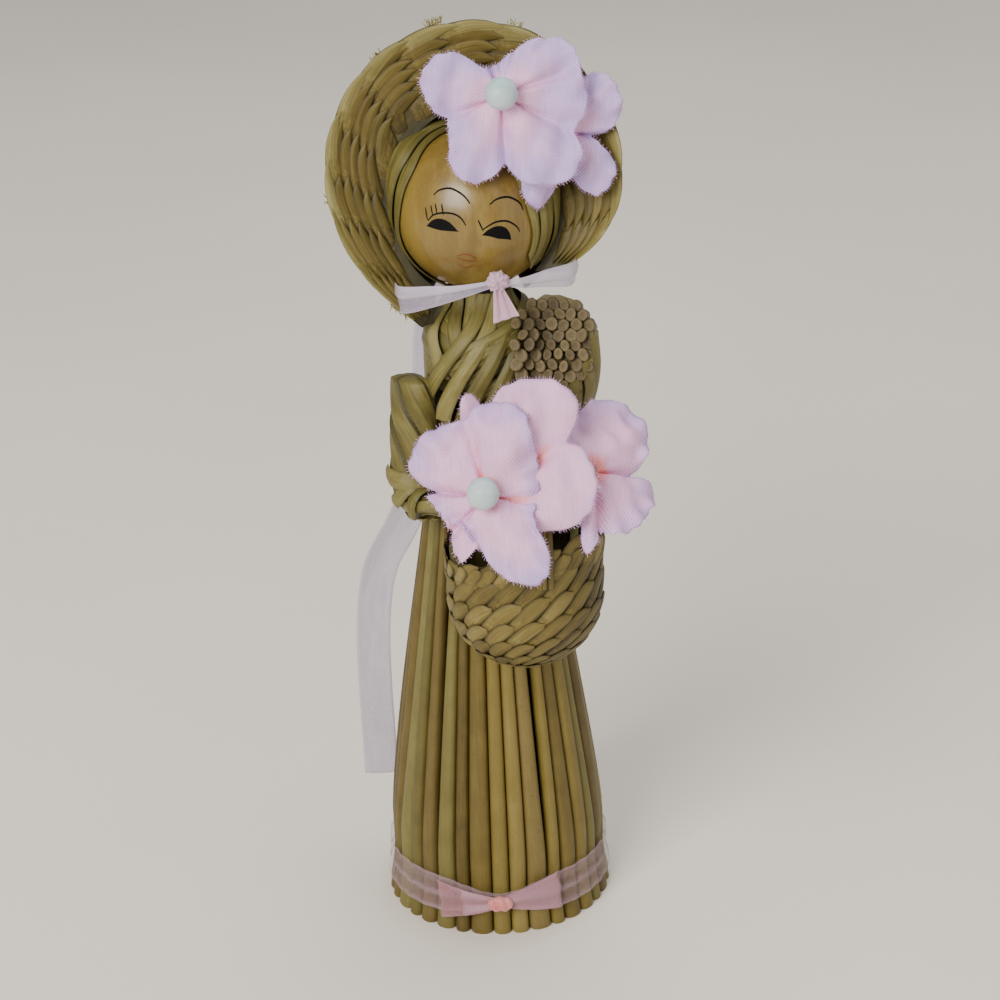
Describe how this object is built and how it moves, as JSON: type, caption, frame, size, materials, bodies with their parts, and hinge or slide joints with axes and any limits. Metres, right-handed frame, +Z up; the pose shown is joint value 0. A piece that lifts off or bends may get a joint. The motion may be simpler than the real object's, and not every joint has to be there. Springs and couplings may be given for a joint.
{
  "type": "straw doll",
  "caption": "Standing straw doll: rush-stem skirt, bead head in a plaited bonnet, straw sheaf, and a plaited flower basket hung on one forearm. The head turns and the basket swings.",
  "frame": {"origin": "centre of the cut base, on the surface that the doll stands on", "axes": "+Z up the doll to the bonnet, -Y the way the face looks, +X to the viewer's right"},
  "size_m": [0.0495, 0.0591, 0.151],
  "materials": {
    "rush": "dry satin",
    "leaf": "dry satin",
    "plait": "dry satin",
    "bead_wood": "varnished",
    "silk": "woven matt",
    "organza_pink": "sheer",
    "organza_pale": "sheer",
    "pip": "satin",
    "flower_stem": "matt"
  },
  "bodies": {
    "figure": {"rush_stem_01": "rush", "rush_stem_02": "rush", "rush_stem_03": "rush", "rush_stem_04": "rush", "rush_stem_05": "rush", "rush_stem_06": "rush", "rush_stem_07": "rush", "rush_stem_08": "rush", "rush_stem_09": "rush", "rush_stem_10": "rush", "rush_stem_11": "rush", "rush_stem_12": "rush", "rush_stem_13": "rush", "rush_stem_14": "rush", "rush_stem_15": "rush", "rush_stem_16": "rush", "rush_stem_17": "rush", "rush_stem_18": "rush", "rush_stem_19": "rush", "rush_stem_20": "rush", "rush_stem_21": "rush", "rush_stem_22": "rush", "rush_stem_23": "rush", "rush_stem_24": "rush", "rush_stem_25": "rush", "rush_stem_26": "rush", "rush_stem_27": "rush", "rush_stem_28": "rush", "rush_stem_29": "rush", "rush_stem_30": "rush", "rush_stem_31": "rush", "rush_stem_32": "rush", "rush_stem_33": "rush", "rush_stem_34": "rush", "core_bundle": "rush", "waist_tie": "rush", "straw_sheaf": "rush", "neck_peg": "bead_wood", "bodice_under": "leaf", "bodice_over": "leaf", "right_arm": "leaf", "left_arm": "leaf", "hem_ribbon": "organza_pink", "hem_bow": "organza_pink"},
    "head": {"head_bead": "bead_wood", "hair_left": "leaf", "hair_right": "leaf", "hat_crown": "plait", "hat_brim": "plait", "chin_ribbon": "organza_pale", "back_ribbon": "organza_pale", "hat_blossom_front": "silk", "hat_blossom_rear": "silk", "hat_pip": "pip"},
    "basket": {"basket": "plait", "basket_handle": "plait", "basket_blossom_front": "silk", "basket_blossom_side": "silk", "basket_pip": "pip", "basket_side_stem": "flower_stem"}
  },
  "joints": [
    {"name": "head_turn", "type": "hinge", "parent": "figure", "child": "head", "pos_m": [0, 0, 0.1192], "axis": [0, 0, 1], "range_deg": [-20, 20]},
    {"name": "basket_swing", "type": "hinge", "parent": "figure", "child": "basket", "pos_m": [0.0086, -0.0218, 0.0786], "axis": [-1, 0, 0], "range_deg": [0, 14]}
  ]
}
